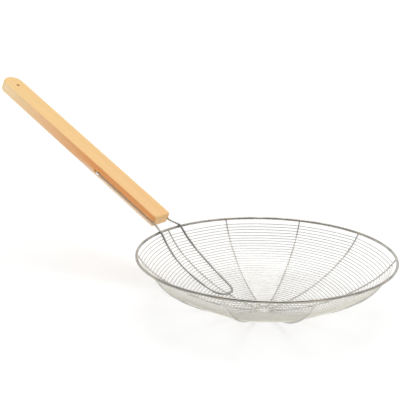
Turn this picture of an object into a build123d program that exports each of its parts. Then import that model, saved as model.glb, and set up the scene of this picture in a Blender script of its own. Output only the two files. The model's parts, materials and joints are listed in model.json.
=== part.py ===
from build123d import *
import math
import os

os.makedirs("parts", exist_ok=True)

# Wire gauges
rim_wire = 3.2
rib_wire = 1.8
mesh_wire = 0.9
loop_wire = 2.8
weld_gap = 0.1
loop_seat_gap = 0.4

# Bowl: a spherical cap whose wall turns up more steeply towards the rim
bowl_radius = 150.0
cap_radius = 210.0
shoulder_run = 24.0
rim_slope = 59.0

# Ribs: welded by hand, each stands past its even place by a share of the even gap
rib_offset_shares = [0, 0.11, 0, 0, 0.06, 0.06, 0, 0.095, 0.02, 0.05]
rib_inner_travel = 6.0

# Mesh: one wire wound from the rim to the centre and pulled flat between the ribs
mesh_turns = 24
mesh_sides = 6
chords_per_gap = 2
flat_share = 0.6
mesh_rim_drop = 4.5
mesh_inner_travel = 8.0

# Handle: a flat bamboo bar that rises away from the bowl
handle_length = 320.0
handle_width = 29.0
handle_thickness = 15.5
handle_pitch = 26.9
handle_rim_gap = 8.0
handle_rise = 17.0
handle_edge_round = 2.6
handle_corner_round = 3.4
hang_hole = 4.5
hang_hole_inset = 22.0

# Side grooves of the handle and the nails in them
groove_depth = 9.3
groove_side_clearance = 0.2
wire_sink = 2.2
wire_length_in_handle = 104.0
groove_tail = 11.0
nail_offset = 2.8
nail_shank = 1.6
nail_length = 9.0
nail_head = 4.6
nail_head_height = 1.1
nail_fit = 0.05

# Hairpin loop: its half widths along the wall and where its closed end lies
loop_rim_half = 18.5
loop_wall_half = 21.5
loop_end_half = 14.0
loop_end_reach = 50.0
loop_end_shift = 4.0
loop_end_radius = 11.0
loop_bend_radius = 12.0
loop_rim_lean = 38.5
loop_rim_radius = 6.0
loop_rim_allowance = 0.3
loop_mouth_radius = 4.0
loop_mouth_overhang = 2.0
loop_leg_shares = [0.955, 0.87, 0.73, 0.58, 0.43, 0.28, 0.14]
loop_half_shares = [0.88, 0.92, 0.98, 1, 0.96, 0.88, 0.76]
bend_room_share = 0.87
overrun = 5.0

# Shape of the wall: two tangent arcs, from the bowl's centre up to the rim
cap_edge_radius = bowl_radius - shoulder_run
cap_slope = math.asin(cap_edge_radius / cap_radius)
end_slope = math.radians(rim_slope)
cap_travel = cap_radius * cap_slope
shoulder_rise = shoulder_run * math.tan((cap_slope + end_slope) / 2)
shoulder_chord = math.hypot(shoulder_run, shoulder_rise)
shoulder_radius = shoulder_chord / (2 * math.sin((end_slope - cap_slope) / 2))
wall_travel = cap_travel + shoulder_radius * (end_slope - cap_slope)
cap_centre_height = cap_radius * math.cos(cap_slope) - shoulder_rise
shoulder_centre_radius = cap_edge_radius - shoulder_radius * math.sin(cap_slope)
shoulder_centre_height = shoulder_radius * math.cos(cap_slope) - shoulder_rise


def wall_point(travel, lift):
    """Radius and height at a travel along the wall, lifted square to the wall into the bowl."""
    if travel <= cap_travel:
        slope = travel / cap_radius
        reach = cap_radius - lift
        return reach * math.sin(slope), cap_centre_height - reach * math.cos(slope)
    slope = cap_slope + (travel - cap_travel) / shoulder_radius
    reach = shoulder_radius - lift
    radius = shoulder_centre_radius + reach * math.sin(slope)
    return radius, shoulder_centre_height - reach * math.cos(slope)


def polar(radius, angle, height):
    """Point at a radius and an azimuth in degrees."""
    turn = math.radians(angle)
    return Vector(radius * math.cos(turn), radius * math.sin(turn), height)


# Rim ring: the thick hoop round the bowl's mouth
with BuildPart() as rim_ring:
    with BuildSketch(Plane.XZ):
        with Locations((bowl_radius, 0)):
            Circle(rim_wire / 2)
    revolve(axis=Axis.Z)
rim_ring.part.label = "rim_ring"
export_step(rim_ring.part, "parts/rim_ring.step")

# Ribs: stiff wires under the mesh, from the underside of the rim to the centre
rib_count = len(rib_offset_shares)
rib_azimuths = [(index + share) * 360 / rib_count for index, share in enumerate(rib_offset_shares)]
rib_top_travel = wall_travel - rim_wire / 2 - weld_gap
rib_marks = [
    rib_inner_travel,
    (rib_inner_travel + cap_travel) / 2,
    cap_travel,
    (cap_travel + rib_top_travel) / 2,
    rib_top_travel,
]
for index, azimuth in enumerate(rib_azimuths):
    inner, cap_middle, joint, shoulder_middle, top = [
        polar(radius, azimuth, height)
        for radius, height in (wall_point(travel, 0) for travel in rib_marks)
    ]
    with BuildPart() as rib:
        with BuildLine() as rib_path:
            cap_arc = ThreePointArc(inner, cap_middle, joint)
            ThreePointArc(joint, shoulder_middle, top)
        with BuildSketch(Plane(origin=inner, z_dir=cap_arc % 0)):
            Circle(rib_wire / 2)
        sweep()
    rib_name = f"rib_{index + 1:02d}"
    rib.part.label = rib_name
    export_step(rib.part, f"parts/{rib_name}.step")

# Mesh: it crosses each rib on its inner side and runs flatter than a circle between two ribs
mesh_lift = rib_wire / 2 + mesh_wire / 2 + weld_gap
mesh_start_travel = wall_travel - mesh_rim_drop
chords_per_turn = rib_count * chords_per_gap
mesh_chords = mesh_turns * chords_per_turn
mesh_travel_step = (mesh_start_travel - mesh_inner_travel) / mesh_chords
gap_marks = rib_azimuths + [rib_azimuths[0] + 360]


def mesh_mark(step):
    """Azimuth at a bend of the pulled wire and the share of the round radius that it keeps there."""
    turn, place = divmod(step, chords_per_turn)
    gap, part = divmod(place, chords_per_gap)
    gap_angle = gap_marks[gap + 1] - gap_marks[gap]
    past_rib = gap_angle * part / chords_per_gap
    half_gap = math.radians(gap_angle / 2)
    chord_share = math.cos(half_gap) / math.cos(half_gap - math.radians(past_rib))
    return turn * 360 + gap_marks[gap] + past_rib, 1 - flat_share * (1 - chord_share)


def straight_run_share(azimuth):
    """The same share at an azimuth on the straight run between two bends of the wire."""
    around = azimuth % 360
    step = sum(mesh_mark(later)[0] <= around for later in range(1, chords_per_turn))
    before, share_before = mesh_mark(step)
    after, share_after = mesh_mark(step + 1)
    near = share_before * math.sin(math.radians(around - before))
    far = share_after * math.sin(math.radians(after - around))
    return share_before * share_after * math.sin(math.radians(after - before)) / (near + far)


mesh_points = []
for step in range(mesh_chords + 1):
    azimuth, kept_share = mesh_mark(step)
    radius, height = wall_point(mesh_start_travel - step * mesh_travel_step, mesh_lift)
    mesh_points.append(polar(radius * kept_share, azimuth, height))

with BuildPart() as mesh_wire_coil:
    with BuildLine() as mesh_path:
        mesh_line = Polyline(*mesh_points)
    with BuildSketch(Plane(origin=mesh_line @ 0, z_dir=mesh_line % 0)):
        RegularPolygon(mesh_wire / 2, mesh_sides)
    sweep(transition=Transition.RIGHT)
mesh_wire_coil.part.label = "mesh_wire"
export_step(mesh_wire_coil.part, "parts/mesh_wire.step")

mesh_gap = min(
    (outer - inner).length for outer, inner in zip(mesh_points, mesh_points[chords_per_turn:])
) - mesh_wire
print(f"least gap of the mesh wire to its next turn: {mesh_gap:.2f} mm")


# Handle: its own plane lies on the top face, x along the bar and z out of that face
handle_plane = Plane(
    origin=(bowl_radius + handle_rim_gap, 0, handle_rise),
    x_dir=(math.cos(math.radians(handle_pitch)), 0, math.sin(math.radians(handle_pitch))),
    z_dir=(-math.sin(math.radians(handle_pitch)), 0, math.cos(math.radians(handle_pitch))),
)
handle_half = handle_width / 2
groove_width = loop_wire + 2 * groove_side_clearance
wire_side = handle_half - wire_sink + loop_wire / 2
groove_length = wire_length_in_handle + groove_tail
nail_place = wire_length_in_handle + nail_offset

with BuildPart() as handle:
    with BuildSketch(handle_plane) as handle_outline:
        with Locations((0, -handle_half)):
            Rectangle(
                handle_length - handle_half, handle_width, align=(Align.MIN, Align.MIN)
            )
        bowl_end_corners = handle_outline.vertices().group_by(Axis.X)[0]
        fillet(bowl_end_corners, handle_corner_round)
        with Locations((handle_length - handle_half, 0)):
            Circle(handle_half)
    extrude(amount=-handle_thickness)
    flat_faces = handle.faces().filter_by(Axis(handle_plane.origin, handle_plane.z_dir))
    fillet(flat_faces.edges(), handle_edge_round)
    with BuildSketch(handle_plane):
        with Locations((handle_length - hang_hole_inset, 0)):
            Circle(hang_hole / 2)
    extrude(amount=-handle_thickness, mode=Mode.SUBTRACT)
    for side in (1, -1):
        groove_plane = Plane(
            origin=handle_plane.from_local_coords(Vector(0, side * handle_half, -groove_depth)),
            x_dir=handle_plane.x_dir,
            z_dir=handle_plane.y_dir * side,
        )
        with BuildSketch(groove_plane):
            with Locations((-overrun, 0)):
                Rectangle(
                    overrun + groove_length - groove_width / 2,
                    groove_width,
                    align=(Align.MIN, Align.CENTER),
                )
            with Locations((groove_length - groove_width / 2, 0)):
                Circle(groove_width / 2)
        extrude(amount=-wire_sink, mode=Mode.SUBTRACT)
        with BuildSketch(groove_plane):
            with Locations((nail_place, 0)):
                Circle(nail_shank / 2 + nail_fit)
        extrude(amount=-(nail_length + nail_fit), mode=Mode.SUBTRACT)
handle.part.label = "handle"
export_step(handle.part, "parts/handle.step")

# Nails: one in each groove, its domed head holding down the end of the wire
head_seat = wire_side + loop_wire / 2 + weld_gap
shank_reach = nail_length + head_seat - handle_half
dome_radius = (nail_head_height ** 2 + (nail_head / 2) ** 2) / (2 * nail_head_height)
for side, nail_name in ((1, "nail_left"), (-1, "nail_right")):
    nail_plane = Plane(
        origin=handle_plane.from_local_coords(Vector(nail_place, side * head_seat, -groove_depth)),
        x_dir=handle_plane.x_dir,
        z_dir=handle_plane.z_dir * side,
    )
    with BuildPart() as nail:
        with BuildSketch(nail_plane):
            with BuildLine():
                Polyline(
                    (0, nail_head_height),
                    (0, -shank_reach),
                    (nail_shank / 2, -shank_reach),
                    (nail_shank / 2, 0),
                    (nail_head / 2, 0),
                )
                RadiusArc((nail_head / 2, 0), (0, nail_head_height), -dome_radius)
            make_face()
        revolve(axis=Axis(nail_plane.origin, nail_plane.y_dir))
    nail.part.label = nail_name
    export_step(nail.part, f"parts/{nail_name}.step")

# Loop: a hairpin whose closed end lies low in the bowl and whose legs run up to the grooves
loop_lift = mesh_lift + mesh_wire / 2 + loop_wire / 2 + loop_seat_gap
cap_reach = cap_radius - loop_lift
end_travel = cap_radius * math.asin(loop_end_reach / cap_reach)
over_rim_gap = rim_wire / 2 + loop_wire / 2 + loop_seat_gap + loop_rim_allowance
over_rim_radius = bowl_radius - over_rim_gap * math.sin(math.radians(loop_rim_lean))
over_rim_height = over_rim_gap * math.cos(math.radians(loop_rim_lean))


def loop_wall_point(share, place):
    """Point of a leg on the mesh, at a share of the way from the closed end up to the rim."""
    radius, height = wall_point(end_travel + share * (wall_travel - end_travel), loop_lift)
    radius *= straight_run_share(math.degrees(math.asin(place / radius)))
    return Vector(math.sqrt(radius ** 2 - place ** 2), place, height)


def end_corner(place):
    """Corner of the closed end, as high as the mesh that it rests on."""
    azimuth = math.degrees(math.atan2(place, loop_end_reach))
    round_radius = math.hypot(loop_end_reach, place) / straight_run_share(azimuth)
    corner_travel = cap_radius * math.asin(round_radius / cap_reach)
    return Vector(loop_end_reach, place, wall_point(corner_travel, loop_lift)[1])


def leg_points(side):
    """Points of one leg, from its end in the groove down to the closed end's corner."""
    in_groove = [
        handle_plane.from_local_coords(Vector(along, side * wire_side, -groove_depth))
        for along in (wire_length_in_handle, -loop_mouth_overhang)
    ]
    rim_x = math.sqrt(over_rim_radius ** 2 - loop_rim_half ** 2)
    over_rim = Vector(rim_x, side * loop_rim_half, over_rim_height)
    on_wall = [
        loop_wall_point(share, side * loop_wall_half * half_share + loop_end_shift * (1 - share))
        for share, half_share in zip(loop_leg_shares, loop_half_shares)
    ]
    return in_groove + [over_rim] + on_wall + [end_corner(side * loop_end_half + loop_end_shift)]


def bend_limit(before, corner, after):
    """Largest radius of a bend that ends within a share of the shorter run beside it."""
    back, ahead = before - corner, after - corner
    half_angle = math.radians(back.get_angle(ahead)) / 2
    return bend_room_share * min(back.length, ahead.length) * math.tan(half_angle)


loop_points = leg_points(1) + leg_points(-1)[::-1]
leg_radii = [loop_mouth_radius, loop_rim_radius]
leg_radii += [loop_bend_radius] * len(loop_leg_shares)
leg_radii += [loop_end_radius]
loop_radii = [
    min(radius, bend_limit(*loop_points[place:place + 3]))
    for place, radius in enumerate(leg_radii + leg_radii[::-1])
]

with BuildPart() as handle_loop:
    with BuildLine() as loop_path:
        loop_line = FilletPolyline(*loop_points, radius=loop_radii)
    with BuildSketch(Plane(origin=loop_line @ 0, z_dir=loop_line % 0)):
        Circle(loop_wire / 2)
    sweep()
handle_loop.part.label = "handle_loop"
export_step(handle_loop.part, "parts/handle_loop.step")
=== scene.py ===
# %% [markdown]
# # A spider skimmer: wound wire and bamboo
#
# The object is a wide, shallow skimmer for lifting food out of hot oil. A thick hoop
# carries ten stiff ribs, a fine wire is wound in one long spiral on the ribs, and a
# hairpin of strong wire joins the bowl to a bamboo bar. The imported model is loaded
# first and never moved: it says where every piece is, and each piece made here stands
# in the place of one of its solids.

# %% Load the fixed frame
import json
import math
import random

import bmesh
import bpy
from mathutils import Matrix, Vector

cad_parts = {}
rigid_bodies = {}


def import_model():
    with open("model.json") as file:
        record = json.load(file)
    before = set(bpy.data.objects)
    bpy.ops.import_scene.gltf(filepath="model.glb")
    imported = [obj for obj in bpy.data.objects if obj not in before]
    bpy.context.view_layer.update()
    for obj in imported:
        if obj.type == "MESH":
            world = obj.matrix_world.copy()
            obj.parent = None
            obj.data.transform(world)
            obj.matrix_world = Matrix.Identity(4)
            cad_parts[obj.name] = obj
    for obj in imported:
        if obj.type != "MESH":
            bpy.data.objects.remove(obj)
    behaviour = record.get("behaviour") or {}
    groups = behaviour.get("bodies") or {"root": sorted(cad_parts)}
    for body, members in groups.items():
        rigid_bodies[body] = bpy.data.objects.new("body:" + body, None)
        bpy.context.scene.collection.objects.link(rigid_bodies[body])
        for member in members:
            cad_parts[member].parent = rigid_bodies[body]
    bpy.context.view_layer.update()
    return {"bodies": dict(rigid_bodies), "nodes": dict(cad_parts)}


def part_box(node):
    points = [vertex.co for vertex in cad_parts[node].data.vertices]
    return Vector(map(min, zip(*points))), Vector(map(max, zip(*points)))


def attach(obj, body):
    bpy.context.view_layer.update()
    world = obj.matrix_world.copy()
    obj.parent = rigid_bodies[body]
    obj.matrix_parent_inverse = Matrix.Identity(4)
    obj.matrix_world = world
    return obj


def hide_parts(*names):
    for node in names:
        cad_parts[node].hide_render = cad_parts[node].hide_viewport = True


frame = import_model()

BODY = sorted(frame["bodies"])[0]
MM = 0.001
print("body:", BODY, "nodes:", len(frame["nodes"]))

# %% [markdown]
# ## Measures taken from the frame
#
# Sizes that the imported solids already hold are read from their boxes, so that a piece
# made here can't drift away from the solid that it stands for. Only what a box can't
# say, such as a radius of curvature, is written as a number of its own.

# %% Sizes of the wires, the bowl and the handle
rim_low, rim_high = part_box("rim_ring")
RIM_WIRE = rim_high.z - rim_low.z
BOWL_RADIUS = rim_high.x - RIM_WIRE / 2
rib_low, rib_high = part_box("rib_01")
RIB_WIRE = rib_high.y - rib_low.y
handle_low, handle_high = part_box("handle")
HANDLE_WIDTH = handle_high.y - handle_low.y
MESH_WIRE = 0.9 * MM
LOOP_WIRE = 2.8 * MM

CAP_RADIUS = 210 * MM
SHOULDER_RUN = 24 * MM
RIM_SLOPE = math.radians(59)
print("rim radius and wire, mm:", round(BOWL_RADIUS / MM, 1), round(RIM_WIRE / MM, 2))

# %% [markdown]
# ## The shape of the wall
#
# Cut through its middle, the bowl shows two arcs that run into each other: a wide one for
# the cap and a tighter one that turns up to the hoop. Every wire of the bowl asks the
# function below for its place, with a lift that tells how far it lies above the ribs'
# centre line. The ribs are welded by hand, so some stand a little past their even place.

# %% The wall of the bowl and the places of the ribs
CAP_SLOPE = math.asin((BOWL_RADIUS - SHOULDER_RUN) / CAP_RADIUS)
CAP_TRAVEL = CAP_RADIUS * CAP_SLOPE
SHOULDER_RISE = SHOULDER_RUN * math.tan((CAP_SLOPE + RIM_SLOPE) / 2)
SHOULDER_CHORD = math.hypot(SHOULDER_RUN, SHOULDER_RISE)
SHOULDER_RADIUS = SHOULDER_CHORD / (2 * math.sin((RIM_SLOPE - CAP_SLOPE) / 2))
WALL_TRAVEL = CAP_TRAVEL + SHOULDER_RADIUS * (RIM_SLOPE - CAP_SLOPE)
CAP_CENTRE_HEIGHT = CAP_RADIUS * math.cos(CAP_SLOPE) - SHOULDER_RISE
SHOULDER_CENTRE_RADIUS = BOWL_RADIUS - SHOULDER_RUN - SHOULDER_RADIUS * math.sin(CAP_SLOPE)
SHOULDER_CENTRE_HEIGHT = SHOULDER_RADIUS * math.cos(CAP_SLOPE) - SHOULDER_RISE

RIB_OFFSET_SHARES = (0, 0.11, 0, 0, 0.06, 0.06, 0, 0.095, 0.02, 0.05)
RIB_COUNT = len(RIB_OFFSET_SHARES)
RIB_ANGLE = 2 * math.pi / RIB_COUNT
RIB_AZIMUTHS = [(index + share) * RIB_ANGLE for index, share in enumerate(RIB_OFFSET_SHARES)]


def wall_point(travel, lift):
    """Radius and height at a travel along the wall, lifted square to it into the bowl."""
    if travel <= CAP_TRAVEL:
        slope = travel / CAP_RADIUS
        reach = CAP_RADIUS - lift
        return reach * math.sin(slope), CAP_CENTRE_HEIGHT - reach * math.cos(slope)
    slope = CAP_SLOPE + (travel - CAP_TRAVEL) / SHOULDER_RADIUS
    reach = SHOULDER_RADIUS - lift
    radius = SHOULDER_CENTRE_RADIUS + reach * math.sin(slope)
    return radius, SHOULDER_CENTRE_HEIGHT - reach * math.cos(slope)


def around(radius, azimuth, height):
    """Point at a radius and an azimuth in radians."""
    return Vector((radius * math.cos(azimuth), radius * math.sin(azimuth), height))


print("travel along the wall, mm:", round(WALL_TRAVEL / MM, 1))

# %% [markdown]
# ## Camera
#
# The photograph was taken from a little above the rim, from the side away from the
# handle, so the near edge of the hoop crosses in front of the bowl. The camera stands at
# that place and looks across the bowl. Its place, its turn and its slight roll were
# fitted to the rim, the ribs and the bar, which brings them closer than the eye can.

# %% Camera at the photograph's angle
CAMERA_PLACE = Vector((-0.63135, 0.90436, 0.36979))
CAMERA_AZIMUTH = math.radians(-51.055)
CAMERA_ELEVATION = math.radians(15.485)
CAMERA_ROLL = math.radians(0.765)
CAMERA_LENS = 90
FULL_FRAME = 36


def new_object(name, data):
    """Puts data in the scene as an object at the origin."""
    made = bpy.data.objects.new(name, data)
    bpy.context.scene.collection.objects.link(made)
    return made


camera_data = bpy.data.cameras.new("camera")
camera_data.lens = CAMERA_LENS
camera_data.sensor_width = FULL_FRAME
camera = new_object("camera", camera_data)
camera_forward = Vector((
    math.cos(CAMERA_ELEVATION) * math.cos(CAMERA_AZIMUTH),
    math.cos(CAMERA_ELEVATION) * math.sin(CAMERA_AZIMUTH),
    -math.sin(CAMERA_ELEVATION),
))
camera_turn = camera_forward.to_track_quat("-Z", "Y").to_matrix().to_4x4()
camera_turn = camera_turn @ Matrix.Rotation(CAMERA_ROLL, 4, "Z")
camera.matrix_world = Matrix.Translation(CAMERA_PLACE) @ camera_turn
bpy.context.scene.camera = camera
print("camera looks along", [round(x, 3) for x in camera_forward])

# %% [markdown]
# ## Small helpers
#
# A bmesh is a mesh that is still being worked on. Most pieces are shaped in one, and the
# two wires that bend freely are drawn as curves. Either way the result is an object at
# the origin, with its place in its mesh. The first helper does that last step for every
# piece: it smooths the faces, keeps edges sharper than a given angle crisp, gives the
# material, and ties the piece to the frame.

# %% Helpers that turn a bmesh or a curve into a finished piece
SMOOTH_ANGLE = math.radians(40)


def finish_piece(mesh, name, materials, nodes):
    """Puts a finished mesh in the scene as one piece that stands for the given nodes."""
    for material in materials:
        mesh.materials.append(material)
    mesh.shade_smooth()
    mesh.set_sharp_from_angle(angle=SMOOTH_ANGLE)
    piece = new_object(name, mesh)
    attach(piece, BODY)
    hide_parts(*nodes)
    return piece


def mesh_from(bm, name):
    """Writes a bmesh to a new mesh with its faces pointing outwards."""
    bmesh.ops.recalc_face_normals(bm, faces=bm.faces)
    mesh = bpy.data.meshes.new(name)
    bm.to_mesh(mesh)
    bm.free()
    return mesh


def tube_along(points, wire, name, steps, sides_extra):
    """A round wire on a smooth curve, with so many steps from one control point to the next."""
    curve = bpy.data.curves.new(name + "_line", "CURVE")
    curve.dimensions = "3D"
    curve.bevel_depth = wire / 2
    curve.bevel_resolution = sides_extra
    curve.use_fill_caps = True
    curve.resolution_u = steps
    spline = curve.splines.new("NURBS")
    spline.points.add(len(points) - 1)
    for control, point in zip(spline.points, points):
        control.co = (*point, 1)
    spline.order_u = 3
    spline.use_endpoint_u = True
    holder = bpy.data.objects.new(name + "_line", curve)
    mesh = bpy.data.meshes.new_from_object(holder)
    mesh.name = name
    bpy.data.objects.remove(holder)
    bpy.data.curves.remove(curve)
    return mesh


# %% [markdown]
# ## Drawn steel
#
# Wire gets its finish from the die that it is drawn through: very fine lines run along
# it, and the handling afterwards leaves soft patches that are duller or slightly warmer.
# Near a weld the heat has browned the surface. The loop in the handle's grooves and the
# inner side of the fine wire are painted darker as painted shade. Painting each wire would be
# slow, so the patches, the browning and the painted shade come from one node group that the
# wires and the nails share, with its own values in each material. The group puts out a
# colour, a roughness and a height; the shader stays in the material.

# %% Helpers for material nodes
MIX_FACTOR, MIX_FIRST, MIX_SECOND, MIX_RESULT = 0, 6, 7, 2


def add_node(tree, kind, place, **settings):
    """Adds a node at a place on the sheet and sets its plain properties."""
    node = tree.nodes.new(kind)
    node.location = place
    for key, value in settings.items():
        setattr(node, key, value)
    return node


def set_inputs(node, values):
    """Sets a node's inputs by name."""
    for name, value in values.items():
        node.inputs[name].default_value = value


def feed(tree, value, socket):
    """Links an output to a socket, or sets the socket to a number or a colour."""
    if hasattr(value, "is_linked"):
        tree.links.new(value, socket)
    else:
        socket.default_value = value


def add_noise(tree, vector, scale, detail, roughness, place):
    """A noise texture that reads the given vector."""
    noise = add_node(tree, "ShaderNodeTexNoise", place)
    set_inputs(noise, {"Scale": scale, "Detail": detail, "Roughness": roughness})
    tree.links.new(vector, noise.inputs["Vector"])
    return noise


def add_range(tree, value, low, high, to_low, to_high, place):
    """Maps a value from one range to another, clamped."""
    node = add_node(tree, "ShaderNodeMapRange", place)
    ends = {"From Min": low, "From Max": high, "To Min": to_low, "To Max": to_high}
    for socket_name, number in ends.items():
        feed(tree, number, node.inputs[socket_name])
    tree.links.new(value, node.inputs["Value"])
    return node.outputs["Result"]


def add_mix(tree, factor, first, second, place):
    """Mixes two colours by a factor."""
    node = add_node(tree, "ShaderNodeMix", place, data_type="RGBA")
    for index, value in ((MIX_FACTOR, factor), (MIX_FIRST, first), (MIX_SECOND, second)):
        feed(tree, value, node.inputs[index])
    return node.outputs[MIX_RESULT]


def add_math(tree, operation, first, second, place):
    """A math node whose inputs are sockets or numbers."""
    node = add_node(tree, "ShaderNodeMath", place, operation=operation)
    for socket, value in zip(node.inputs, (first, second)):
        if value is not None:
            feed(tree, value, socket)
    return node.outputs[0]


# %% Helper for an empty node group
def new_group(name, inputs, outputs):
    """An empty node group with named sockets; returns the group and its two end nodes."""
    group = bpy.data.node_groups.new(name, "ShaderNodeTree")
    for socket_name, kind, value in inputs:
        socket = group.interface.new_socket(socket_name, in_out="INPUT", socket_type=kind)
        if value is not None:
            socket.default_value = value
    for socket_name, kind in outputs:
        group.interface.new_socket(socket_name, in_out="OUTPUT", socket_type=kind)
    start = add_node(group, "NodeGroupInput", (-900, 0))
    end = add_node(group, "NodeGroupOutput", (900, 0))
    return group, start, end


# %% The shared group for drawn steel
# Each noise is written as its scale, its detail and its roughness.
PATCH_NOISE = (60, 3, 0.55)
PATCH_EDGES = (0.38, 0.66)
LINE_NOISE = (1900, 2, 0.6)
SURFACE_OUTPUTS = [
    ("Color", "NodeSocketColor"), ("Roughness", "NodeSocketFloat"), ("Height", "NodeSocketFloat")
]
drawn_steel, steel_in, steel_out = new_group(
    "drawn_steel",
    [
        ("Vector", "NodeSocketVector", None),
        ("Clean", "NodeSocketColor", (0.6, 0.6, 0.58, 1)),
        ("Dull", "NodeSocketColor", (0.4, 0.39, 0.36, 1)),
        # Browning near welds; on the loop the same two sockets carry painted shade of the grooves.
        ("Browning And Shade Tone", "NodeSocketColor", (0.56, 0.40, 0.26, 1)),
        ("Browning And Groove Shade", "NodeSocketFloat", 0.0),
        # Painted shade on the side of the fine wire that faces into the bowl.
        ("Inward Shade Tone", "NodeSocketColor", (0.46, 0.455, 0.435, 1)),
        ("Inward Shade", "NodeSocketFloat", 0.0),
        ("Smoothest", "NodeSocketFloat", 0.22),
        ("Roughest", "NodeSocketFloat", 0.45),
    ],
    SURFACE_OUTPUTS,
)
patch_noise = add_noise(drawn_steel, steel_in.outputs["Vector"], *PATCH_NOISE, (-640, 160))
line_noise = add_noise(drawn_steel, steel_in.outputs["Vector"], *LINE_NOISE, (-640, -120))
patches = add_range(drawn_steel, patch_noise.outputs["Fac"], *PATCH_EDGES, 0, 1, (-420, 160))
steel_tone = add_mix(
    drawn_steel, patches, steel_in.outputs["Clean"], steel_in.outputs["Dull"], (-160, 200)
)
steel_tone = add_mix(
    drawn_steel, steel_in.outputs["Browning And Groove Shade"], steel_tone, steel_in.outputs["Browning And Shade Tone"], (80, 200)
)
steel_tone = add_mix(
    drawn_steel, steel_in.outputs["Inward Shade"], steel_tone, steel_in.outputs["Inward Shade Tone"], (320, 200)
)
drawn_steel.links.new(steel_tone, steel_out.inputs["Color"])
steel_roughness = add_range(
    drawn_steel, patches, 0, 1,
    steel_in.outputs["Smoothest"], steel_in.outputs["Roughest"], (80, 0),
)
drawn_steel.links.new(steel_roughness, steel_out.inputs["Roughness"])
drawn_steel.links.new(line_noise.outputs["Fac"], steel_out.inputs["Height"])
print("group", drawn_steel.name, "has", len(drawn_steel.nodes), "nodes")

# %% [markdown]
# ## Weld heat marks, and painted shade on the wires
#
# The wires are spot welded where they cross, so their colour changes a little near each
# crossing, within two millimetres on the fine wire and eight on the hoop. In the handle's
# grooves the loop is painted brown as painted shade of the groove. The fine wire is painted
# darker on the side that faces into the bowl, also as painted shade. A texture can't know
# where a weld, a groove or an inner side is, so helpers write the browning and the painted
# shade to each vertex as attributes of the mesh, from 0 to 1, and the wires' materials read
# them.

# %% Browning and painted groove shade by place, painted shade by facing
SHADE_CENTRE = Vector((0, 0, CAP_CENTRE_HEIGHT))
SHADE_EDGE = 0.25
SHADE_SHARPNESS = 2


def write_browning_and_shade(mesh, mark_at):
    """Writes a value for each vertex from its place: weld browning on the hoop and fine wire,
    painted groove shade on the loop.
    """
    browning_and_shade = mesh.attributes.new("browning_and_shade", "FLOAT", "POINT")
    for vertex, value in zip(mesh.vertices, browning_and_shade.data):
        value.value = mark_at(vertex.co)


def write_inward_shade(mesh):
    """Writes the painted shade of each vertex, from how far it faces into the bowl: 0 outside, 1
    inside.
    """
    inward_shade = mesh.attributes.new("inward_shade", "FLOAT", "POINT")
    for vertex, value in zip(mesh.vertices, inward_shade.data):
        facing = vertex.normal.dot((SHADE_CENTRE - vertex.co).normalized())
        value.value = min(1, max(0, (facing - SHADE_EDGE) * SHADE_SHARPNESS))


def tint_near_ribs(reach):
    """Tells how near a point lies to a rib, from 0 at the reach to 1 on the rib."""
    def mark_at(point):
        azimuth = math.atan2(point.y, point.x)
        turn = min(abs(math.remainder(azimuth - rib, 2 * math.pi)) for rib in RIB_AZIMUTHS)
        return max(0, 1 - turn * math.hypot(point.x, point.y) / reach)
    return mark_at


# %% Materials for the steel wires
LINE_DEPTH = 0.02 * MM
LINE_STRENGTH = 0.4


def new_material(name):
    """An empty material with its shader and the object's coordinates."""
    material = bpy.data.materials.new(name)
    material.use_nodes = True
    tree = material.node_tree
    tree.nodes.clear()
    output = add_node(tree, "ShaderNodeOutputMaterial", (900, 0))
    shader = add_node(tree, "ShaderNodeBsdfPrincipled", (600, 0))
    tree.links.new(shader.outputs["BSDF"], output.inputs["Surface"])
    coordinates = add_node(tree, "ShaderNodeTexCoord", (-1100, 0))
    return material, tree, shader, coordinates.outputs["Object"]


def feed_shader(tree, surface, shader, depth, strength):
    """Feeds a group's colour and roughness to the shader, and its height through a bump."""
    bump = add_node(tree, "ShaderNodeBump", (400, -300))
    set_inputs(bump, {"Distance": depth, "Strength": strength})
    tree.links.new(surface.outputs["Color"], shader.inputs["Base Color"])
    tree.links.new(surface.outputs["Roughness"], shader.inputs["Roughness"])
    tree.links.new(surface.outputs["Height"], bump.inputs["Height"])
    tree.links.new(bump.outputs["Normal"], shader.inputs["Normal"])


def wire_material(name, clean, dull, smoothest, roughest, browning_and_shade_amount=0, inward_shade_amount=0):
    """Drawn steel wire, browned and darkened by so much where its mesh carries browning and
    painted shade.
    """
    material, tree, shader, vector = new_material(name)
    set_inputs(shader, {"Metallic": 1})
    steel = add_node(tree, "ShaderNodeGroup", (0, 0), node_tree=drawn_steel)
    tree.links.new(vector, steel.inputs["Vector"])
    set_inputs(steel, {
        "Clean": (*clean, 1), "Dull": (*dull, 1), "Smoothest": smoothest, "Roughest": roughest
    })
    for attribute, amount, socket, down in (
        ("browning_and_shade", browning_and_shade_amount, "Browning And Groove Shade", -200), ("inward_shade", inward_shade_amount, "Inward Shade", -500)
    ):
        if amount:
            carried = add_node(
                tree, "ShaderNodeAttribute", (-400, down), attribute_name=attribute
            )
            share = add_range(tree, carried.outputs["Fac"], 0, 1, 0, amount, (-200, down))
            tree.links.new(share, steel.inputs[socket])
    feed_shader(tree, steel, shader, LINE_DEPTH, LINE_STRENGTH)
    return material


rim_steel = wire_material(
    "rim_steel", (0.46, 0.445, 0.41), (0.33, 0.315, 0.28), 0.20, 0.38, browning_and_shade_amount=0.25
)
rib_steel = wire_material(
    "rib_steel", (0.66, 0.65, 0.62), (0.54, 0.53, 0.50), 0.28, 0.45
)
# The fine wire's inner side is painted darker as painted shade.
mesh_steel = wire_material(
    "mesh_steel", (0.94, 0.92, 0.84), (0.85, 0.82, 0.73), 0.28, 0.45,
    browning_and_shade_amount=0.25, inward_shade_amount=1,
)
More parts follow.
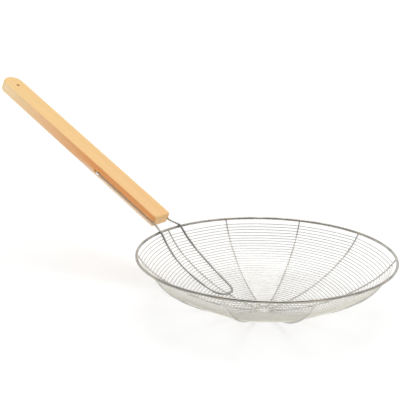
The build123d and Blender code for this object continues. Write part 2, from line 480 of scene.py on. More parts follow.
# Most of the loop's browning amount is painted shade of the handle's grooves.
loop_steel = wire_material(
    "loop_steel", (0.52, 0.51, 0.49), (0.38, 0.37, 0.35), 0.22, 0.4, browning_and_shade_amount=0.9
)
nail_steel = wire_material(
    "nail_steel", (0.86, 0.86, 0.85), (0.72, 0.72, 0.70), 0.12, 0.25
)
steels = (rim_steel, rib_steel, mesh_steel, loop_steel, nail_steel)
print("steels:", ", ".join(steel.name for steel in steels))

# %% [markdown]
# ## The hoop
#
# The rim is a round bar bent into a circle. A small circle of vertices is the bar's
# section; spinning it once round the bowl's axis sweeps the hoop in a single operation,
# and use_merge closes the seam where the sweep meets its start. A curve would do as
# well, but its steps along the hoop would be harder to set exactly.

# %% Rim hoop, spun from its section
WIRE_SIDES = 16
RIM_STEPS = 240
RIM_HEAT_REACH = 8 * MM


def section_circle(bm, wire, sides, centre, across):
    """A circle of edges, the wire's section, at a centre and square to a direction."""
    turn = across.to_track_quat("Z", "Y").to_matrix().to_4x4()
    made = bmesh.ops.create_circle(
        bm, segments=sides, radius=wire / 2, matrix=Matrix.Translation(centre) @ turn
    )
    return list({edge for vert in made["verts"] for edge in vert.link_edges})


bm = bmesh.new()
rim_start = Vector((BOWL_RADIUS, 0, 0))
rim_section = section_circle(bm, RIM_WIRE, WIRE_SIDES, rim_start, Vector((0, 1, 0)))
bmesh.ops.spin(
    bm, geom=rim_section, cent=(0, 0, 0), axis=(0, 0, 1), angle=2 * math.pi,
    steps=RIM_STEPS, use_merge=True, use_duplicate=False,
)
rim_hoop = finish_piece(
    mesh_from(bm, "rim_hoop"), "rim_hoop", [rim_steel], ["rim_ring"]
)
write_browning_and_shade(rim_hoop.data, tint_near_ribs(RIM_HEAT_REACH))
print("rim hoop faces:", len(rim_hoop.data.polygons))

# %% [markdown]
# ## The ribs
#
# Each rib is one stiff wire that follows the wall: a long arc of the cap, then a short
# arc that turns up to the hoop. Two spins about the centres of those arcs sweep it from
# one section circle, which keeps both arcs true, and the same shape is turned to each of
# the ten places.

# %% Ribs, swept by two spins each
RIB_SIDES = 12
CAP_STEPS = 40
SHOULDER_STEPS = 10
RIB_INNER_TRAVEL = 6 * MM
RIB_TOP_GAP = 0.05 * MM
ACROSS_RIB = Vector((0, 1, 0))


def spin_section(bm, edges, centre, angle, steps):
    """Sweeps a section about an axis across the rib and returns the new end section."""
    swept = bmesh.ops.spin(
        bm, geom=edges, cent=centre, axis=ACROSS_RIB, angle=angle, steps=steps, use_duplicate=False
    )
    return [item for item in swept["geom_last"] if isinstance(item, bmesh.types.BMEdge)]


def make_rib(index):
    """One rib at its azimuth, closed at both ends."""
    bm = bmesh.new()
    radius, height = wall_point(RIB_INNER_TRAVEL, 0)
    inner_slope = RIB_INNER_TRAVEL / CAP_RADIUS
    along = Vector((math.cos(inner_slope), 0, math.sin(inner_slope)))
    section = section_circle(bm, RIB_WIRE, RIB_SIDES, Vector((radius, 0, height)), along)
    bmesh.ops.edgeloop_fill(bm, edges=section)
    cap_centre = Vector((0, 0, CAP_CENTRE_HEIGHT))
    section = spin_section(bm, section, cap_centre, inner_slope - CAP_SLOPE, CAP_STEPS)
    shoulder_centre = Vector((SHOULDER_CENTRE_RADIUS, 0, SHOULDER_CENTRE_HEIGHT))
    top_travel = WALL_TRAVEL - RIM_WIRE / 2 - RIB_TOP_GAP
    shoulder_turn = (CAP_TRAVEL - top_travel) / SHOULDER_RADIUS
    section = spin_section(bm, section, shoulder_centre, shoulder_turn, SHOULDER_STEPS)
    bmesh.ops.edgeloop_fill(bm, edges=section)
    turn = Matrix.Rotation(RIB_AZIMUTHS[index], 3, "Z")
    bmesh.ops.rotate(bm, verts=bm.verts, cent=(0, 0, 0), matrix=turn)
    name = f"rib_wire_{index + 1:02d}"
    node = f"rib_{index + 1:02d}"
    return finish_piece(mesh_from(bm, name), name, [rib_steel], [node])


ribs = [make_rib(index) for index in range(RIB_COUNT)]
print("ribs:", len(ribs), "faces each:", len(ribs[0].data.polygons))

# %% [markdown]
# ## The wound wire
#
# One fine wire is wound on the ribs from the rim down to the middle, about 39 turns. It
# is pulled tight, so between two ribs it runs flatter than a circle and turns a soft
# corner at each rib, less under the hoop and more towards the middle. No two turns are
# quite alike: a seeded random number shifts every crossing and every span a little. A
# curve suits this piece better than a swept section, because a curve keeps a round
# section square to a path that bends two ways at once.

# %% Wound wire, one unbroken spiral
MESH_TURNS = 39
MESH_RIM_DROP = 4.2 * MM
MESH_INNER_TRAVEL = 8 * MM
FLAT_SHARE_AT_RIM = 0.3
FLAT_SHARE_IN_MIDDLE = 0.9
CORNER_SOFTNESS = math.radians(1.1)
SPAN_STEPS_SHARE = (0, 0.045, 0.14, 0.32, 0.5, 0.68, 0.86, 0.955)
CROSSING_JITTER = 0.16 * MM
SPAN_JITTER = 0.22 * MM
FLAT_JITTER = 0.05
MESH_SEED = 7
MESH_BITE = 0.03 * MM
MESH_LIFT = RIB_WIRE / 2 + MESH_WIRE / 2 - MESH_BITE
MESH_HEAT_REACH = 2 * MM
GAP_MARKS = RIB_AZIMUTHS + [RIB_AZIMUTHS[0] + 2 * math.pi]


def flat_at(travel):
    """How far the wire is pulled flat, at a travel along the wall."""
    down = 1 - travel / WALL_TRAVEL
    return FLAT_SHARE_AT_RIM + down * (FLAT_SHARE_IN_MIDDLE - FLAT_SHARE_AT_RIM)


def flat_radius_share(from_rib, gap, flat):
    """Share of the round radius that the pulled wire keeps at an angle past a rib."""
    def chord(angle):
        eased = math.sqrt(angle ** 2 + CORNER_SOFTNESS ** 2)
        return math.cos(gap / 2) / math.cos(gap / 2 - eased)
    nearest = min(from_rib, gap - from_rib)
    return 1 - flat * (chord(0) - chord(nearest))


def mesh_path():
    """Control points of the spiral, from its start under the rim to the middle."""
    dice = random.Random(MESH_SEED)
    start = WALL_TRAVEL - MESH_RIM_DROP
    drop_per_turn = (start - MESH_INNER_TRAVEL) / MESH_TURNS
    spans = MESH_TURNS * RIB_COUNT
    crossings = [dice.uniform(-CROSSING_JITTER, CROSSING_JITTER) for _ in range(spans + 1)]
    points = []
    for span in range(spans):
        turns, index = divmod(span, RIB_COUNT)
        gap = GAP_MARKS[index + 1] - GAP_MARKS[index]
        bow = dice.uniform(-SPAN_JITTER, SPAN_JITTER)
        flat_change = dice.uniform(-FLAT_JITTER, FLAT_JITTER)
        for share in SPAN_STEPS_SHARE:
            azimuth = GAP_MARKS[index] + share * gap
            travel = start - (turns + azimuth / (2 * math.pi)) * drop_per_turn
            shift = crossings[span] * (1 - share) + crossings[span + 1] * share
            shift += bow * math.sin(math.pi * share) ** 2
            radius, height = wall_point(travel + shift, MESH_LIFT)
            radius *= flat_radius_share(share * gap, gap, flat_at(travel) + flat_change)
            points.append(around(radius, azimuth, height))
    return points


spiral = mesh_path()
spiral_mesh = tube_along(spiral, MESH_WIRE, "wound_wire", steps=2, sides_extra=1)
write_browning_and_shade(spiral_mesh, tint_near_ribs(MESH_HEAT_REACH))
write_inward_shade(spiral_mesh)
wound_wire = finish_piece(spiral_mesh, "wound_wire", [mesh_steel], ["mesh_wire"])
spiral_length = sum((b - a).length for a, b in zip(spiral, spiral[1:]))
print("wound wire, m:", round(spiral_length, 2), "faces:", len(wound_wire.data.polygons))

# %% [markdown]
# ## The hairpin loop
#
# One strong wire starts in the left groove of the handle, leaves its mouth, bends over
# the hoop, runs down the wall on top of the wound wire, turns round low in the bowl and
# comes back the same way. It is bent over pegs by hand, so it has no sharp corner
# anywhere: a smooth spline with a few control points is the right tool.

# %% Where the handle lies
HANDLE_LENGTH = 320 * MM
HANDLE_THICKNESS = 15.5 * MM
HANDLE_PITCH = math.radians(26.9)
HANDLE_RIM_GAP = 8 * MM
HANDLE_RISE = 17 * MM
HANDLE_PLACE = Vector((BOWL_RADIUS + HANDLE_RIM_GAP, 0, HANDLE_RISE))
HANDLE_MATRIX = Matrix.Translation(HANDLE_PLACE) @ Matrix.Rotation(-HANDLE_PITCH, 4, "Y")
HANDLE_HALF = HANDLE_WIDTH / 2
GROOVE_DEPTH = 9.3 * MM
WIRE_SINK = 2.2 * MM
WIRE_SIDE = HANDLE_HALF - WIRE_SINK + LOOP_WIRE / 2
WIRE_LENGTH_IN_HANDLE = 104 * MM


def in_handle(along, across, below):
    """A point of the bar: along from the bowl's end, to its left, and under its top face."""
    return HANDLE_MATRIX @ Vector((along, across, -below))


far_end = in_handle(HANDLE_LENGTH, 0, 0)
print("far end of the handle, mm:", [round(x / MM, 1) for x in far_end])

# %% Hairpin loop on a smooth spline
LOOP_RIM_HALF = 18.5 * MM
LOOP_WALL_HALF = 21.5 * MM
LOOP_END_HALF = 14 * MM
LOOP_END_REACH = 50 * MM
LOOP_END_SHIFT = 4 * MM
LOOP_END_ROUND = 6.4 * MM
LOOP_LEG_SHARES = (0.955, 0.87, 0.73, 0.58, 0.43, 0.28, 0.14)
LOOP_HALF_SHARES = (0.88, 0.92, 0.98, 1, 0.96, 0.88, 0.76)
LOOP_RIM_LEANS = (math.radians(22), math.radians(56))
GROOVE_MARKS = (WIRE_LENGTH_IN_HANDLE, 70 * MM, 30 * MM, 6 * MM, 0.5 * MM, -3 * MM)
LOOP_GAP = 0.1 * MM
LOOP_RIM_GAP = 0.45 * MM
LOOP_REST = MESH_WIRE / 2 + LOOP_WIRE / 2 + LOOP_GAP
LOOP_RIM_REST = RIM_WIRE / 2 + LOOP_WIRE / 2 + LOOP_RIM_GAP
GROOVE_FADE = 8 * MM
loop_lift = MESH_LIFT + LOOP_REST
cap_reach = CAP_RADIUS - loop_lift
end_travel = CAP_RADIUS * math.asin(LOOP_END_REACH / cap_reach)


def pulled_share(azimuth, travel):
    """Share of the round radius that the wound wire keeps at a place on the wall."""
    turn = azimuth % (2 * math.pi)
    index = max(place for place, mark in enumerate(RIB_AZIMUTHS) if mark <= turn)
    gap = GAP_MARKS[index + 1] - GAP_MARKS[index]
    return flat_radius_share(turn - GAP_MARKS[index], gap, flat_at(travel))


def leg_point(share, place):
    """A control point of a leg, at a share of the way from the closed end up to the rim."""
    travel = end_travel + share * (WALL_TRAVEL - end_travel)
    radius, height = wall_point(travel, loop_lift)
    radius *= pulled_share(math.asin(place / radius), travel)
    return Vector((math.sqrt(radius ** 2 - place ** 2), place, height))


def end_point(reach, place):
    """A control point of the closed end, as high as the wound wire under it."""
    azimuth = math.atan2(place, reach)
    round_radius = math.hypot(reach, place) / pulled_share(azimuth, end_travel)
    travel = CAP_RADIUS * math.asin(round_radius / cap_reach)
    return Vector((reach, place, wall_point(travel, loop_lift)[1]))


def leg(side):
    """Control points of one leg, from the groove over the hoop to the closed end."""
    points = [in_handle(mark, side * WIRE_SIDE, GROOVE_DEPTH) for mark in GROOVE_MARKS]
    for lean in LOOP_RIM_LEANS:
        radius = BOWL_RADIUS - LOOP_RIM_REST * math.sin(lean)
        rim_x = math.sqrt(radius ** 2 - LOOP_RIM_HALF ** 2)
        points.append(Vector((rim_x, side * LOOP_RIM_HALF, LOOP_RIM_REST * math.cos(lean))))
    for share, half_share in zip(LOOP_LEG_SHARES, LOOP_HALF_SHARES):
        place = side * LOOP_WALL_HALF * half_share + LOOP_END_SHIFT * (1 - share)
        points.append(leg_point(share, place))
    end_side = side * LOOP_END_HALF + LOOP_END_SHIFT
    points.append(end_point(LOOP_END_REACH + LOOP_END_ROUND, end_side))
    points.append(end_point(LOOP_END_REACH, end_side - side * LOOP_END_ROUND))
    return points


def groove_shade(point):
    """Painted shade of the groove on the loop: 1 in the groove, fading to 0 where the loop comes
    out.
    """
    return min(1, max(0, (point.x - HANDLE_PLACE.x) / GROOVE_FADE))


loop_line = leg(1) + leg(-1)[::-1]
loop_mesh = tube_along(loop_line, LOOP_WIRE, "hairpin_loop", steps=8, sides_extra=4)
write_browning_and_shade(loop_mesh, groove_shade)
hairpin_loop = finish_piece(loop_mesh, "hairpin_loop", [loop_steel], ["handle_loop"])
print("hairpin loop faces:", len(hairpin_loop.data.polygons))

# %% [markdown]
# ## Bamboo
#
# Bamboo is a bundle of long fibres. Along the bar they show as fine pale and honey
# streaks with short dark dashes, and on the cut end the same fibres show as dots. So the
# pattern is solid: noise that is drawn out 30 to 70 times along the bar's length is read
# in the bar's own directions, and every face then shows the right cut through it.
# A Mapping node turns the object's coordinates into those directions. The group gives a
# colour, a roughness and a height; the polished skin and the raw groove use it with
# different values.

# %% The shared group for bamboo
# Each layer has a stretch along, across and out of the bar, a noise and its two edges.
BROAD_LAYER = ((3, 90, 90), (1, 2, 0.5), (0.35, 0.65))
STREAK_LAYER = ((9, 620, 620), (1, 3, 0.6), (0.3, 0.7))
DASH_LAYER = ((34, 1500, 1500), (1, 1, 0.4), (0.66, 0.74))
BROAD_WEIGHT = 0.45
STREAK_WEIGHT = 0.55
bamboo_grain, grain_in, grain_out = new_group(
    "bamboo_grain",
    [
        ("Vector", "NodeSocketVector", None),
        ("Pale", "NodeSocketColor", (0.9, 0.66, 0.34, 1)),
        ("Honey", "NodeSocketColor", (0.86, 0.52, 0.22, 1)),
        ("Dash", "NodeSocketColor", (0.42, 0.22, 0.08, 1)),
        ("Dash Amount", "NodeSocketFloat", 0.35),
        ("Smoothest", "NodeSocketFloat", 0.35),
        ("Roughest", "NodeSocketFloat", 0.55),
    ],
    SURFACE_OUTPUTS,
)


def grain_layer(stretch, noise_values, edges, down):
    """One layer of the grain: a noise drawn out along the bar and cut to a share."""
    drawn_out = add_node(
        bamboo_grain, "ShaderNodeVectorMath", (-860, down), operation="MULTIPLY"
    )
    drawn_out.inputs[1].default_value = stretch
    bamboo_grain.links.new(grain_in.outputs["Vector"], drawn_out.inputs[0])
    noise = add_noise(bamboo_grain, drawn_out.outputs["Vector"], *noise_values, (-640, down))
    return add_range(bamboo_grain, noise.outputs["Fac"], *edges, 0, 1, (-420, down))


broad_share = grain_layer(*BROAD_LAYER, 300)
streak_share = grain_layer(*STREAK_LAYER, 60)
dash_share = grain_layer(*DASH_LAYER, -180)
broad_part = add_math(bamboo_grain, "MULTIPLY", broad_share, BROAD_WEIGHT, (-220, 300))
streak_part = add_math(bamboo_grain, "MULTIPLY", streak_share, STREAK_WEIGHT, (-220, 120))
tone_share = add_math(bamboo_grain, "ADD", broad_part, streak_part, (-40, 220))
dash_share = add_math(
    bamboo_grain, "MULTIPLY", dash_share, grain_in.outputs["Dash Amount"], (-220, -180)
)
grain_tone = add_mix(
    bamboo_grain, tone_share, grain_in.outputs["Pale"], grain_in.outputs["Honey"], (160, 220)
)
grain_tone = add_mix(bamboo_grain, dash_share, grain_tone, grain_in.outputs["Dash"], (380, 220))
bamboo_grain.links.new(grain_tone, grain_out.inputs["Color"])
grain_roughness = add_range(
    bamboo_grain, streak_share, 0, 1,
    grain_in.outputs["Smoothest"], grain_in.outputs["Roughest"], (380, 0),
)
bamboo_grain.links.new(grain_roughness, grain_out.inputs["Roughness"])
grain_height = add_math(bamboo_grain, "SUBTRACT", streak_share, dash_share, (380, -200))
bamboo_grain.links.new(grain_height, grain_out.inputs["Height"])
print("group", bamboo_grain.name, "has", len(bamboo_grain.nodes), "nodes")

# %% The bar's own directions
BAR_TURN = Matrix.Rotation(HANDLE_PITCH, 3, "Y")


def bar_vector(tree, vector):
    """Object coordinates turned to the bar's own: along, across, and out of its top face."""
    mapping = add_node(tree, "ShaderNodeMapping", (-900, 0))
    set_inputs(mapping, {
        "Rotation": (0, HANDLE_PITCH, 0), "Location": -(BAR_TURN @ HANDLE_PLACE)
    })
    tree.links.new(vector, mapping.inputs["Vector"])
    return mapping.outputs["Vector"]


print("origin of the bar's own directions, mm:", [round(x / MM, 1) for x in HANDLE_PLACE])

# %% Polished skin with painted light and shade: each pair of tones is first far from the bowl, then near it
TOP_PALE = ((0.90, 0.61, 0.255, 1), (0.93, 0.60, 0.265, 1))
TOP_HONEY = ((0.87, 0.56, 0.205, 1), (0.89, 0.51, 0.20, 1))
# The sides' tones are partly the bamboo's own and partly painted light and shade: painted paler
# far from the bowl and darker near it, where the grooves' shade falls.
SIDE_PALE = ((0.98, 0.77, 0.48, 1), (0.84, 0.35, 0.09, 1))
SIDE_HONEY = ((0.95, 0.64, 0.31, 1), (0.74, 0.26, 0.06, 1))
# The lower part of each side, under the grooves and most near the bowl, is painted pale as painted
# light bounced up from the white floor.
LIP_LIT_PALE = (0.95, 0.84, 0.66, 1)
LIP_LIT_HONEY = (0.90, 0.76, 0.55, 1)
SIDE_BLEND = (HANDLE_HALF - 1.6 * MM, HANDLE_HALF - 0.2 * MM)
SIDE_SHADE_REACH = (0.35 * HANDLE_LENGTH, 0.95 * HANDLE_LENGTH)
LIP_LIGHT_REACH = (0.36 * HANDLE_LENGTH, 0.5 * HANDLE_LENGTH)
LIP_LIGHT_AMOUNTS = (0.75, 0.15)
LIP_LIGHT_HEIGHTS = (-8 * MM, -12 * MM)
FIBRE_DEPTH = 0.04 * MM
SKIN_STRENGTH = 0.5
bamboo, bamboo_tree, bamboo_shader, bamboo_vector = new_material("bamboo")
bamboo_vector = bar_vector(bamboo_tree, bamboo_vector)
bar_axes = add_node(bamboo_tree, "ShaderNodeSeparateXYZ", (-700, 300))
bamboo_tree.links.new(bamboo_vector, bar_axes.inputs[0])
along_bar, across_bar, out_of_top = bar_axes.outputs
near_bowl = add_range(bamboo_tree, along_bar, 0, HANDLE_LENGTH, 1, 0, (-500, 420))
side_shade_near_bowl = add_range(bamboo_tree, along_bar, *SIDE_SHADE_REACH, 1, 0, (-500, 580))
off_middle = add_math(bamboo_tree, "ABSOLUTE", across_bar, None, (-500, 200))
on_side = add_range(bamboo_tree, off_middle, *SIDE_BLEND, 0, 1, (-300, 200))
lip_light_amount = add_range(bamboo_tree, along_bar, *LIP_LIGHT_REACH, *LIP_LIGHT_AMOUNTS, (-500, 0))
lit_low_on_side = add_range(bamboo_tree, out_of_top, *LIP_LIGHT_HEIGHTS, 0, lip_light_amount, (-300, 0))
top_pale = add_mix(bamboo_tree, near_bowl, *TOP_PALE, (-100, 520))
top_honey = add_mix(bamboo_tree, near_bowl, *TOP_HONEY, (-100, 380))
side_pale = add_mix(bamboo_tree, side_shade_near_bowl, *SIDE_PALE, (-100, 240))
side_pale = add_mix(bamboo_tree, lit_low_on_side, side_pale, LIP_LIT_PALE, (60, 240))
side_honey = add_mix(bamboo_tree, side_shade_near_bowl, *SIDE_HONEY, (-100, 100))
side_honey = add_mix(bamboo_tree, lit_low_on_side, side_honey, LIP_LIT_HONEY, (60, 100))
bamboo_group = add_node(bamboo_tree, "ShaderNodeGroup", (320, 100), node_tree=bamboo_grain)
bamboo_tree.links.new(bamboo_vector, bamboo_group.inputs["Vector"])
skin_pale = add_mix(bamboo_tree, on_side, top_pale, side_pale, (100, 420))
skin_honey = add_mix(bamboo_tree, on_side, top_honey, side_honey, (100, 240))
bamboo_tree.links.new(skin_pale, bamboo_group.inputs["Pale"])
bamboo_tree.links.new(skin_honey, bamboo_group.inputs["Honey"])
set_inputs(bamboo_group, {"Dash": (0.5, 0.27, 0.1, 1), "Dash Amount": 0.4})
set_inputs(bamboo_shader, {"Coat Weight": 0.15, "Coat Roughness": 0.3})
feed_shader(bamboo_tree, bamboo_group, bamboo_shader, FIBRE_DEPTH, SKIN_STRENGTH)
print(bamboo.name, "has", len(bamboo_tree.nodes), "nodes")

# %% Raw cut of the grooves and the hang hole, darkened partly by painted shade
CUT_DEPTH = 2 * FIBRE_DEPTH
CUT_STRENGTH = 0.8
bamboo_cut_and_shade, cut_tree, cut_shader, cut_vector = new_material("bamboo_cut_and_shade")
cut_group = add_node(cut_tree, "ShaderNodeGroup", (100, 100), node_tree=bamboo_grain)
cut_tree.links.new(bar_vector(cut_tree, cut_vector), cut_group.inputs["Vector"])
# The cut's brown is partly the raw fibres' own darker tone and partly painted shade of the recess.
set_inputs(cut_group, {
    "Pale": (0.44, 0.26, 0.13, 1), "Honey": (0.34, 0.19, 0.09, 1), "Dash": (0.16, 0.09, 0.04, 1),
    "Dash Amount": 0.7, "Smoothest": 0.7, "Roughest": 0.9,
})
feed_shader(cut_tree, cut_group, cut_shader, CUT_DEPTH, CUT_STRENGTH)
print(bamboo_cut_and_shade.name, "has", len(cut_tree.nodes), "nodes")

# %% [markdown]
# ## The bar
#
# The handle is sawn and sanded from one piece: a flat bar with a fully round far end,
# small round corners at the bowl's end, and every long edge broken by sanding. The form
# comes from a cube whose corner edges are bevelled first in plan and then all round the
# two broad faces. One boolean with three cutters then cuts the grooves and the hang
# hole, as a router and a drill would, so their walls keep the cutters' round forms.

# %% The bar's outside
CORNER_ROUND = 3.4 * MM
EDGE_ROUND = 2.6 * MM
END_STEPS = 24
CORNER_STEPS = 6
EDGE_STEPS = 6
TINY = 0.02 * MM
MERGE_REACH = 3 * TINY
SQUARE_ON = 0.99
ACROSS, UPRIGHT = 1, 2


def unit_box(bm, length, width, height, middle):
    """A box of a size about a middle."""
    made = bmesh.ops.create_cube(bm, size=1)
    bmesh.ops.scale(bm, verts=made["verts"], vec=(length, width, height))
    bmesh.ops.translate(bm, verts=made["verts"], vec=middle)
    return made["verts"]


def round_edges(bm, edges, offset, segments):
    """Rounds the given edges with an even number of flats."""
    bmesh.ops.bevel(
        bm, geom=edges, offset=offset, offset_type="OFFSET", segments=segments, profile=0.5,
        affect="EDGES", clamp_overlap=False, material=-1,
    )


def edges_at(bm, along, direction):
    """Edges that lie at a place along the bar and run across it or upright."""
    return [
        edge for edge in bm.edges
        if all(abs(vert.co.x - along) < TINY for vert in edge.verts)
        and abs(edge.verts[0].co[direction] - edge.verts[1].co[direction]) > TINY
    ]


bm = bmesh.new()
unit_box(
    bm, HANDLE_LENGTH, HANDLE_WIDTH, HANDLE_THICKNESS,
    (HANDLE_LENGTH / 2, 0, -HANDLE_THICKNESS / 2),
)
round_edges(bm, edges_at(bm, HANDLE_LENGTH, UPRIGHT), HANDLE_HALF - TINY, END_STEPS)
round_edges(bm, edges_at(bm, 0, UPRIGHT), CORNER_ROUND, CORNER_STEPS)
bmesh.ops.remove_doubles(bm, verts=bm.verts, dist=MERGE_REACH)
broad_faces = [face for face in bm.faces if abs(face.normal.z) > SQUARE_ON]
perimeter = list({edge for face in broad_faces for edge in face.edges})
round_edges(bm, perimeter, EDGE_ROUND, EDGE_STEPS)
bar_mesh = mesh_from(bm, "bamboo_bar")
print("bar faces before the cuts:", len(bar_mesh.polygons))

# %% Cutters for the grooves and the hang hole
GROOVE_PLAY = 0.4 * MM
GROOVE_WIDTH = LOOP_WIRE + GROOVE_PLAY
GROOVE_TAIL = 11 * MM
HANG_HOLE = 4.5 * MM
HANG_HOLE_INSET = 22 * MM
OVERRUN = 5 * MM
CUTTER_SIDES = 32
GROOVE_END_STEPS = 8

cutters = bmesh.new()
groove_length = WIRE_LENGTH_IN_HANDLE + GROOVE_TAIL
for side in (1, -1):
    cutter = bmesh.new()
    unit_box(
        cutter, groove_length + OVERRUN, WIRE_SINK + OVERRUN, GROOVE_WIDTH,
        (
            (groove_length - OVERRUN) / 2,
            side * (HANDLE_HALF - WIRE_SINK + (WIRE_SINK + OVERRUN) / 2),
            -GROOVE_DEPTH,
        ),
    )
    tail_edges = edges_at(cutter, groove_length, ACROSS)
    round_edges(cutter, tail_edges, GROOVE_WIDTH / 2 - TINY, GROOVE_END_STEPS)
    cutter_mesh = mesh_from(cutter, "groove_cutter")
    cutters.from_mesh(cutter_mesh)
    bpy.data.meshes.remove(cutter_mesh)
bmesh.ops.create_cone(
    cutters, cap_ends=True, segments=CUTTER_SIDES, radius1=HANG_HOLE / 2, radius2=HANG_HOLE / 2,
    depth=HANDLE_THICKNESS + 2 * OVERRUN,
    matrix=Matrix.Translation((HANDLE_LENGTH - HANG_HOLE_INSET, 0, -HANDLE_THICKNESS / 2)),
)
cutter_mesh = mesh_from(cutters, "bar_cutters")
print("cutter faces:", len(cutter_mesh.polygons))

# %% Cut the bar
for mesh in (bar_mesh, cutter_mesh):
    for material in (bamboo, bamboo_cut_and_shade):
        mesh.materials.append(material)
for face in cutter_mesh.polygons:
    face.material_index = 1
bar_holder = new_object("bar_holder", bar_mesh)
cutter_holder = new_object("cutter_holder", cutter_mesh)
cut = bar_holder.modifiers.new("cuts", "BOOLEAN")
cut.operation = "DIFFERENCE"
cut.solver = "EXACT"
cut.object = cutter_holder
bpy.context.view_layer.update()
cut_bar = bpy.data.meshes.new_from_object(
    bar_holder.evaluated_get(bpy.context.evaluated_depsgraph_get())
)
for holder in (bar_holder, cutter_holder):
    bpy.data.objects.remove(holder)
print("bar faces after the cuts:", len(cut_bar.polygons))

# %% Round the lips of the cuts and set the bar in place
LIP_ROUND = 0.25 * MM
LIP_STEPS = 2

bm = bmesh.new()
bm.from_mesh(cut_bar)
lips = [
    edge for edge in bm.edges
    if len(edge.link_faces) == 2
    and {face.material_index for face in edge.link_faces} == {0, 1}
]
round_edges(bm, lips, LIP_ROUND, LIP_STEPS)
bmesh.ops.transform(bm, matrix=HANDLE_MATRIX, verts=bm.verts)
bar = mesh_from(bm, "bamboo_bar_cut")
bar.materials.clear()
bamboo_bar = finish_piece(bar, "bamboo_bar", [bamboo, bamboo_cut_and_shade], ["handle"])
even = bamboo_bar.modifiers.new("even_normals", "WEIGHTED_NORMAL")
even.keep_sharp = True
print("bar faces:", len(bar.polygons), "lips rounded:", len(lips))

# %% [markdown]
# ## The nails
#
# A round-headed nail at the end of each groove holds the wire's end in place. The head
# is the cap of a sphere: a sphere is cut by a plane, the cut is filled, and the flat is
# inset and pushed down to make the shank that sits in the wood.

# %% Nails
NAIL_PAST_WIRE = 2.8 * MM
NAIL_PLACE = WIRE_LENGTH_IN_HANDLE + NAIL_PAST_WIRE
NAIL_HEAD = 4.6 * MM
NAIL_HEAD_HEIGHT = 1.1 * MM
NAIL_SHANK = 1.6 * MM
NAIL_LENGTH = 9 * MM
HEAD_GAP = 0.05 * MM
DOME_SIDES = 32
DOME_RINGS = 40
CUT_REACH = TINY / 10


def make_nail(side, name, node):
    """One nail whose head points out of a side of the bar."""
    bm = bmesh.new()
    dome = (NAIL_HEAD_HEIGHT ** 2 + (NAIL_HEAD / 2) ** 2) / (2 * NAIL_HEAD_HEIGHT)
    bmesh.ops.create_uvsphere(bm, u_segments=DOME_SIDES, v_segments=DOME_RINGS, radius=dome)
    bmesh.ops.translate(bm, verts=bm.verts, vec=(0, 0, NAIL_HEAD_HEIGHT - dome))
    bmesh.ops.bisect_plane(
        bm, geom=bm.verts[:] + bm.edges[:] + bm.faces[:], dist=CUT_REACH,
        plane_co=(0, 0, 0), plane_no=(0, 0, 1), clear_inner=True,
    )
    rim = [edge for edge in bm.edges if edge.is_boundary]
    flat = bmesh.ops.edgeloop_fill(bm, edges=rim)["faces"]
    ledge = (NAIL_HEAD - NAIL_SHANK) / 2
    bmesh.ops.inset_region(bm, faces=flat, thickness=ledge, use_even_offset=True)
    shank = bmesh.ops.extrude_discrete_faces(bm, faces=flat)["faces"]
    shank_verts = list({vert for face in shank for vert in face.verts})
    bmesh.ops.translate(bm, verts=shank_verts, vec=(0, 0, -NAIL_LENGTH))
    outwards = Matrix.Rotation(-side * math.pi / 2, 4, "X")
    head_side = side * (WIRE_SIDE + LOOP_WIRE / 2 + HEAD_GAP)
    seat = HANDLE_MATRIX @ Matrix.Translation((NAIL_PLACE, head_side, -GROOVE_DEPTH))
    bmesh.ops.transform(bm, matrix=seat @ outwards, verts=bm.verts)
    return finish_piece(mesh_from(bm, name), name, [nail_steel], [node])


nails = [
    make_nail(1, "nail_of_left_side", "nail_left"),
    make_nail(-1, "nail_of_right_side", "nail_right"),
]
print("nails:", len(nails))

# %% [markdown]
# ## Floor, background and light
#
# The photograph is a product shot on white, with no edge between floor and wall. The
# world and the floor look white to the camera and in reflections, and a large soft lamp
# on each side with one overhead light the object as such a shot does. The floor is lit
# by the same lamps, so it keeps the object's soft shadow. Its own glow grows with the
# distance from the bowl, so that its far parts run into the white of the world.

# %% Floor under the lowest rib
FLOOR_SIZE = 12
FLOOR_GAP = 0.1 * MM
FLOOR_WHITE = (0.93, 0.93, 0.93, 1)
FLOOR_ROUGHNESS = 0.9
WHITE = (1, 1, 1, 1)
NEAR_GLOW = 0.17
FAR_GLOW = 0.6
NEAR_REACH = 0.3
FAR_REACH = 2.5
floor_height = min(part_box(node)[0].z for node in frame["nodes"]) - FLOOR_GAP


def flat_sheet(name, size, seat):
    """A flat square, set in its place by a matrix."""
    bm = bmesh.new()
    bmesh.ops.create_grid(bm, x_segments=1, y_segments=1, size=size / 2)
    bmesh.ops.transform(bm, matrix=seat, verts=bm.verts)
    mesh = bpy.data.meshes.new(name)
    bm.to_mesh(mesh)
    bm.free()
    return new_object(name, mesh)


def paint(sheet, name, values):
    """Gives a sheet a plain material and returns the material's tree and shader."""
    material = bpy.data.materials.new(name)
    material.use_nodes = True
    shader = material.node_tree.nodes["Principled BSDF"]
    set_inputs(shader, values)
    sheet.data.materials.append(material)
    return material.node_tree, shader


def seen_share(tree, down):
    """1 for rays from the camera or a reflection, 0 for rays that only carry light."""
    path = add_node(tree, "ShaderNodeLightPath", (-800, down))
    from_camera, from_mirror = path.outputs["Is Camera Ray"], path.outputs["Is Glossy Ray"]
    return add_math(tree, "MAXIMUM", from_camera, from_mirror, (-600, down))


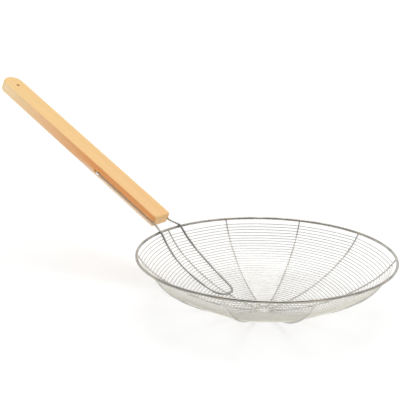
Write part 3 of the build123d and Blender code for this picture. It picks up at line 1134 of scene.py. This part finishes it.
floor = flat_sheet("floor", FLOOR_SIZE, Matrix.Translation((0, 0, floor_height)))
floor_tree, floor_shader = paint(floor, "floor_white", {
    "Base Color": FLOOR_WHITE, "Roughness": FLOOR_ROUGHNESS,
    "Specular IOR Level": 0, "Emission Color": WHITE,
})
floor_coordinates = add_node(floor_tree, "ShaderNodeTexCoord", (-800, -600))
floor_reach = add_node(floor_tree, "ShaderNodeVectorMath", (-600, -600), operation="LENGTH")
floor_tree.links.new(floor_coordinates.outputs["Object"], floor_reach.inputs[0])
glow = add_range(
    floor_tree, floor_reach.outputs["Value"], NEAR_REACH, FAR_REACH, NEAR_GLOW, FAR_GLOW,
    (-400, -600),
)
floor_glow = add_math(floor_tree, "MULTIPLY", seen_share(floor_tree, -300), glow, (-200, -300))
floor_tree.links.new(floor_glow, floor_shader.inputs["Emission Strength"])
print("floor height, mm:", round(floor_height / MM, 1))

# %% World: white where it is seen, softer where it lights
WORLD_LIGHT = 0.52
world = bpy.data.worlds.new("studio")
bpy.context.scene.world = world
world.use_nodes = True
world_tree = world.node_tree
background = world_tree.nodes["Background"]
set_inputs(background, {"Color": WHITE})
world_strength = add_range(
    world_tree, seen_share(world_tree, 0), 0, 1, WORLD_LIGHT, 1, (-220, 0)
)
world_tree.links.new(world_strength, background.inputs["Strength"])
bpy.context.scene.view_settings.view_transform = "Standard"
print("world:", world.name, "light:", WORLD_LIGHT)

# %% Places in the studio
camera_side = Vector((camera_forward.x, camera_forward.y, 0)).normalized()
camera_right = camera_side.cross(Vector((0, 0, 1)))
STUDIO_AIM = Vector((0.05, 0, 0))


def studio_place(right, ahead, height):
    """A place given as the photographer sees it: to the right, beyond the bowl, and up."""
    return STUDIO_AIM + camera_right * right + camera_side * ahead + Vector((0, 0, height))


def facing_bowl(place, axis):
    """The matrix that puts a thing at a place with one of its axes towards the bowl."""
    turn = (STUDIO_AIM - place).to_track_quat(axis, "Y").to_matrix().to_4x4()
    return Matrix.Translation(place) @ turn


print("camera's side of the bowl:", [round(x, 2) for x in studio_place(0, -1, 0)])

# %% Lamps, each with its place to the right, ahead and up, its size and its watts
LAMPS = (
    ("lamp_left", (-1.5, -0.5, 0.7), 0.9, 5),
    ("lamp_right", (1.5, -0.4, 0.7), 0.9, 6),
    ("lamp_above", (0.1, 0.2, 2.0), 1.6, 16),
)
for name, place, size, watts in LAMPS:
    lamp_data = bpy.data.lights.new(name, "AREA")
    lamp_data.shape = "SQUARE"
    lamp_data.size = size
    lamp_data.energy = watts
    lamp = new_object(name, lamp_data)
    lamp.matrix_world = facing_bowl(studio_place(*place), "-Z")
print("lamps:", len(LAMPS))

# %% [markdown]
# ## Grey cards
#
# Bright wire takes its tone from what stands round it. A darker steel would lose the
# lights on its edges, so grey cards stand behind the camera and at the sides instead.
# They show only in reflections, and keep the fine wire from going white.

# %% Cards that show only in reflections
CARDS = (
    ("card_behind", (-0.2, -1.7, 1), 3.2, (0.13, 0.12, 0.105, 1)),
    ("card_left", (-1.35, -0.45, 0.5), 1.7, (0.17, 0.16, 0.135, 1)),
    ("card_right", (1.35, -0.45, 0.5), 1.7, (0.42, 0.41, 0.38, 1)),
)
for name, place, size, tone in CARDS:
    card = flat_sheet(name, size, facing_bowl(studio_place(*place), "Z"))
    card.visible_camera = False
    card.visible_diffuse = False
    card.visible_shadow = False
    paint(card, name, {"Base Color": tone, "Roughness": 1})
print("cards:", len(CARDS))
